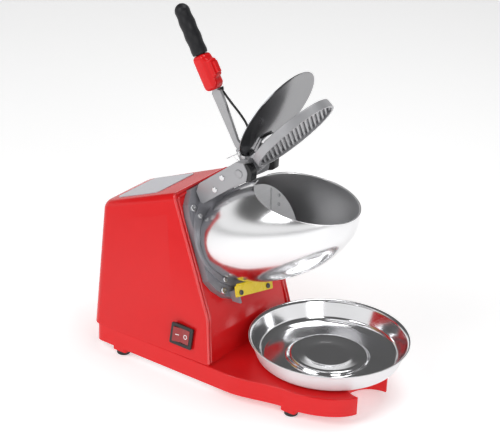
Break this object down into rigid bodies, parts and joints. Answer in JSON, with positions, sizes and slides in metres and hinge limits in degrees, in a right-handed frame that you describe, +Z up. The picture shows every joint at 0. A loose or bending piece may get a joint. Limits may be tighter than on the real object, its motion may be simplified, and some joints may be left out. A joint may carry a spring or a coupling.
{
  "type": "shaved ice machine",
  "caption": "Red electric shaved ice machine with a steel hopper, lever-driven ice pusher, hinged lid, cutter disc and loose catch bowl.",
  "frame": {"origin": "centre of the bottom of the bounding box, on the table under the feet", "axes": "+X from the housing towards the catch bowl, +Y across the machine to its far side, +Z up"},
  "size_m": [0.384, 0.2048, 0.4256],
  "materials": {
    "red_plastic": "glossy",
    "red_lens": "glossy",
    "rubber": "matte",
    "grip_rubber": "matte ribbed",
    "zinc_steel": "satin",
    "dark_steel": "satin",
    "mirror_steel": "mirror",
    "blade_steel": "ground",
    "grey_casting": "satin",
    "cast_aluminium": "as cast",
    "label_grey": "satin",
    "black_plastic": "matte",
    "yellow_paint": "glossy",
    "copper": "enamelled wire",
    "carbon": "matte",
    "lamination": "varnished"
  },
  "bodies": {
    "machine": {"base_tray": "red_plastic", "rubber_feet": "rubber", "foot_screws": "zinc_steel", "bottom_plate": "zinc_steel", "housing_shell": "red_plastic", "roof_plate": "label_grey", "inlet_bush": "black_plastic", "switch_bezel": "black_plastic", "front_casting": "grey_casting", "casting_screws": "zinc_steel", "hopper": "mirror_steel", "hopper_flange": "grey_casting", "flange_screws": "zinc_steel", "outlet_guard": "yellow_paint", "guard_screws": "dark_steel", "outlet_chute": "grey_casting", "front_bearing": "zinc_steel", "rear_bearing": "zinc_steel", "motor_front_bracket": "cast_aluminium", "motor_rear_bracket": "cast_aluminium", "motor_stator": "lamination", "motor_coils": "copper", "motor_brushes": "carbon", "hinge_arm_near": "cast_aluminium", "hinge_arm_far": "cast_aluminium", "arm_rivets": "zinc_steel", "hinge_pin": "dark_steel", "pin_caps": "dark_steel", "lid_spring": "dark_steel"},
    "cutter": {"blade_disc": "blade_steel", "cutter_blades": "blade_steel", "blade_screws": "zinc_steel", "drive_shaft": "dark_steel", "disc_nuts": "dark_steel", "motor_rotor": "lamination", "commutator": "copper", "cooling_fan": "black_plastic"},
    "lid_leaf": {"lid": "mirror_steel", "lid_hinge": "mirror_steel", "lid_rivets": "zinc_steel"},
    "lever": {"pusher_plate": "cast_aluminium", "pusher_arm": "cast_aluminium", "pusher_screws": "zinc_steel", "handle_arm": "zinc_steel", "handle_screws": "zinc_steel", "switch_housing_near": "red_plastic", "switch_housing_far": "red_plastic", "micro_switch": "black_plastic", "grip": "grip_rubber", "cable_glands": "black_plastic", "handle_cable": "black_plastic"},
    "trigger_button": {"trigger": "red_plastic"},
    "power_rocker": {"switch_rocker": "red_lens"},
    "bowl": {"catch_bowl": "mirror_steel"}
  },
  "joints": [
    {"name": "handle_hinge", "type": "hinge", "parent": "machine", "child": "lever", "pos_m": [-0.0055, -0.01412, 0.256], "axis": [0, 1, 0], "range_deg": [0, 102]},
    {"name": "lid_hinge_turn", "type": "hinge", "parent": "machine", "child": "lid_leaf", "pos_m": [-0.0055, -0.01412, 0.256], "axis": [0, 1, 0], "range_deg": [0, 76]},
    {"name": "cutter_spin", "type": "hinge", "parent": "machine", "child": "cutter", "pos_m": [-0.04337, -0.01412, 0.15272], "axis": [0.8746, 0, 0.4848], "continuous": true},
    {"name": "power_rock", "type": "hinge", "parent": "machine", "child": "power_rocker", "pos_m": [-0.0385, -0.09484, 0.05891], "axis": [0, 0.1758, 0.9844], "range_deg": [-4, 0]},
    {"name": "trigger_press", "type": "slide", "parent": "lever", "child": "trigger_button", "axis": [-0.8526, 0, -0.5225], "range_m": [0, 0.0015], "stiffness_N_per_m": 500},
    {"name": "bowl_lift", "type": "slide", "parent": "machine", "child": "bowl", "axis": [0, 0, 1], "range_m": [0, 0.03]}
  ],
  "couplings": [
    {"joint": "lid_hinge_turn", "follows": "handle_hinge", "ratio": 0.74}
  ]
}
